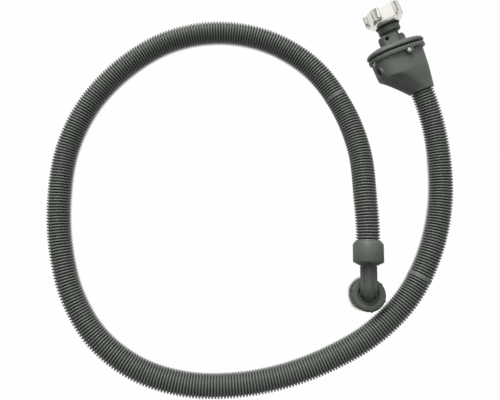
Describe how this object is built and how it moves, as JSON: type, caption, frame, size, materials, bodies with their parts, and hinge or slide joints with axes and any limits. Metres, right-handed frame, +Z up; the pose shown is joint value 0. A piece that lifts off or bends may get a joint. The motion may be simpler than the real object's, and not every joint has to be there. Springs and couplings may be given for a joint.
{
  "type": "safety inlet hose",
  "caption": "Corrugated safety hose for a washer's water inlet, loosely coiled, with an elbow and union nut at one end and a leak valve housing with a metal tap nut at the other.",
  "frame": {"origin": "on the surface that the hose lies on, under the middle of the box round the two end fittings", "axes": "+Z up, +X to the right and +Y away as the picture shows the coil from above"},
  "size_m": [0.4431, 0.4267, 0.0491],
  "materials": {
    "grey_plastic": "moulded, slightly greenish grey, semi-matt",
    "jacket_grey": "corrugated grey jacket, soft sheen",
    "nickel_plate": "bright nickel plate",
    "bright_steel": "plain bright steel",
    "black_rubber": "matt rubber",
    "white_plastic": "natural moulded plastic",
    "smoked_window": "glossy dark window",
    "pressed_cellulose": "pressed fibre",
    "hose_black": "smooth black pressure hose"
  },
  "bodies": {
    "hose": {"coupling_gasket": "black_rubber", "cover_screw_1": "bright_steel", "cover_screw_2": "bright_steel", "cover_screw_3": "bright_steel", "cover_seal": "black_rubber", "elbow_end_ferrule": "bright_steel", "end_collar": "grey_plastic", "hose_jacket": "jacket_grey", "indicator_window": "smoked_window", "inlet_cover": "grey_plastic", "inlet_gasket": "black_rubber", "inlet_strainer": "white_plastic", "nut_retaining_ring": "bright_steel", "nut_slide_ring": "black_rubber", "outlet_elbow": "grey_plastic", "pressure_hose": "hose_black", "swell_plug": "pressed_cellulose", "tap_end_ferrule": "bright_steel", "valve_body": "white_plastic", "valve_housing": "grey_plastic", "valve_spring": "bright_steel"},
    "tap_nut": {"tap_nut": "nickel_plate"},
    "coupling_nut": {"coupling_nut": "grey_plastic"},
    "plunger": {"valve_plunger": "white_plastic"}
  },
  "joints": [
    {"name": "tap_nut_turn", "type": "hinge", "parent": "hose", "child": "tap_nut", "pos_m": [-0.0002, 0.14497, 0.02652], "axis": [-0.3456, 0.9343, 0.0872], "continuous": true},
    {"name": "coupling_nut_turn", "type": "hinge", "parent": "hose", "child": "coupling_nut", "pos_m": [-0.03061, -0.15216, 0.01149], "axis": [-0.1896, 0.0479, 0.9807], "continuous": true},
    {"name": "plunger_slide", "type": "slide", "parent": "hose", "child": "plunger", "axis": [0.3456, -0.9343, -0.0872], "range_m": [0, 0.0044]}
  ]
}
